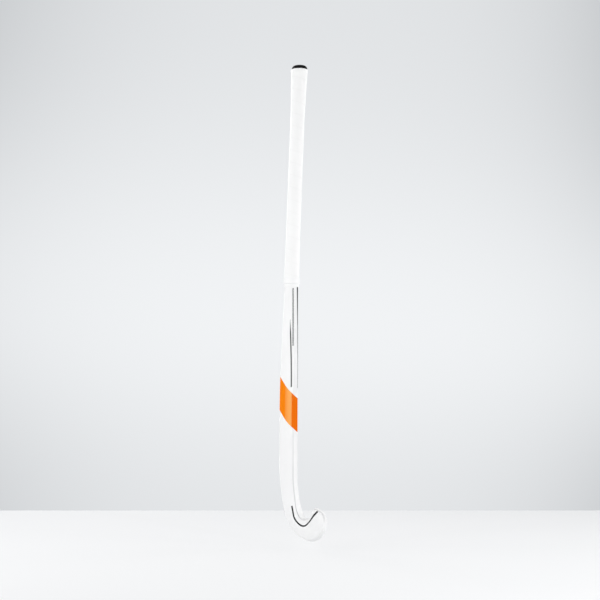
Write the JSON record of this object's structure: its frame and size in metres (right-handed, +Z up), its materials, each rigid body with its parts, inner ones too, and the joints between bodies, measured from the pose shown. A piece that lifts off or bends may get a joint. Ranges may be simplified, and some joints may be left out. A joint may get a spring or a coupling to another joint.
{
  "type": "indoor hockey stick",
  "caption": "White composite indoor field hockey stick with a slim hooked head, a flat playing face, a wound cushion grip and a black butt cap.",
  "frame": {"origin": "centre of the footprint, at the lowest point of the head, with the stick standing on its head", "axes": "+Z up the handle to the butt, +X from the shaft towards the toe, +Y out of the flat playing face"},
  "size_m": [0.1146, 0.0342, 0.927],
  "materials": {
    "white_lacquer": "white lacquer over composite laminate, with printed orange and grey stripes",
    "rigid_foam": "cut rigid foam",
    "black_laminate": "bare carbon and glass laminate",
    "cap_rubber": "smooth black moulded rubber",
    "grip_tape": "white cushion tape, softly pebbled",
    "band_film": "thin white adhesive film"
  },
  "bodies": {
    "root": {"composite_shell": "white_lacquer", "head_foam_core": "rigid_foam", "inner_sleeve_heel_side": "black_laminate", "inner_sleeve_toe_side": "black_laminate", "handle_end_plug": "rigid_foam", "butt_cap": "cap_rubber", "grip_tape": "grip_tape", "finishing_band": "band_film"}
  },
  "joints": []
}
